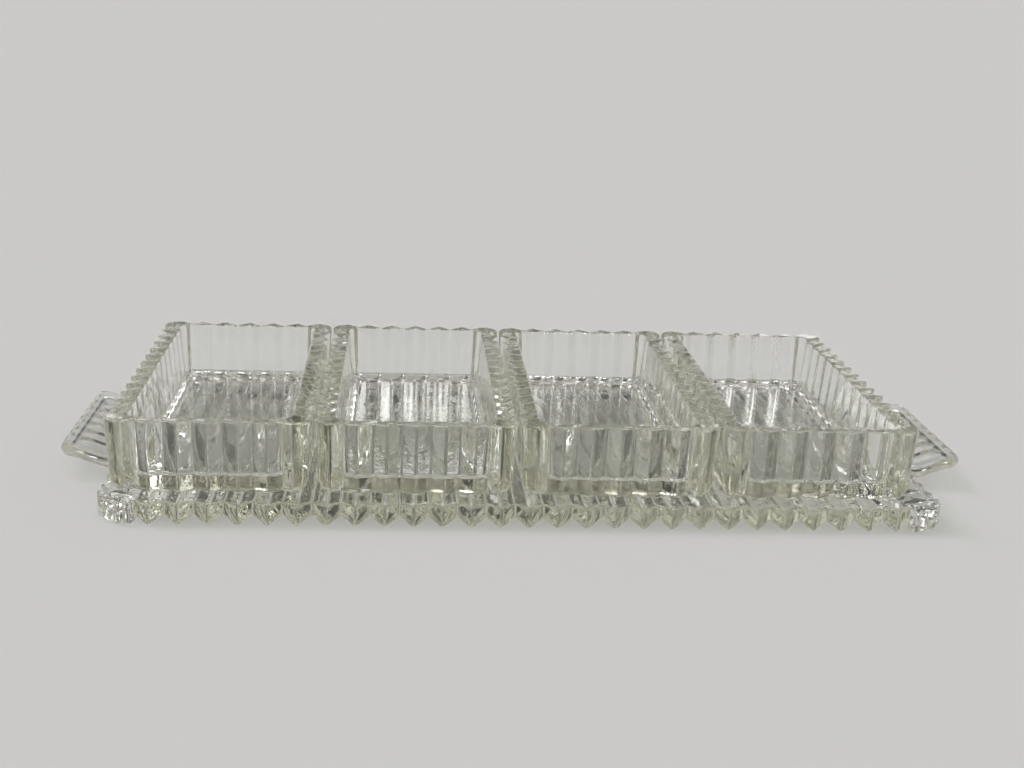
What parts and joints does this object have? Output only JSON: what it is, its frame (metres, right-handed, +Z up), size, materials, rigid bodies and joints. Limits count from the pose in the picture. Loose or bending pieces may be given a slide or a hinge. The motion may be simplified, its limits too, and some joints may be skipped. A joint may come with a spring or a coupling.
{
  "type": "relish tray",
  "caption": "Long saw-edged glass tray with a tab handle at each end, carrying a row of separate ribbed rectangular glass dishes that lift out.",
  "frame": {"origin": "middle of the tray's underside, on the surface that it stands on", "axes": "+X runs along the row of dishes and through both handles, +Y from the front edge to the back edge, +Z up"},
  "size_m": [0.3624, 0.173, 0.0358],
  "materials": {
    "tray_glass": "clear pressed glass with a faint grey-green cast, fire-polished and slightly wavy",
    "dish_glass": "clear pressed glass, fire-polished, with soft mould waviness"
  },
  "bodies": {
    "tray": {"tray": "tray_glass"},
    "dish_left": {"dish_left": "dish_glass"},
    "dish_centre_left": {"dish_centre_left": "dish_glass"},
    "dish_centre_right": {"dish_centre_right": "dish_glass"},
    "dish_right": {"dish_right": "dish_glass"}
  },
  "joints": [
    {"name": "lift_dish_left", "type": "slide", "parent": "tray", "child": "dish_left", "axis": [0, 0, 1], "range_m": [0, 0.04]},
    {"name": "lift_dish_centre_left", "type": "slide", "parent": "tray", "child": "dish_centre_left", "axis": [0, 0, 1], "range_m": [0, 0.04]},
    {"name": "lift_dish_centre_right", "type": "slide", "parent": "tray", "child": "dish_centre_right", "axis": [0, 0, 1], "range_m": [0, 0.04]},
    {"name": "lift_dish_right", "type": "slide", "parent": "tray", "child": "dish_right", "axis": [0, 0, 1], "range_m": [0, 0.04]}
  ]
}
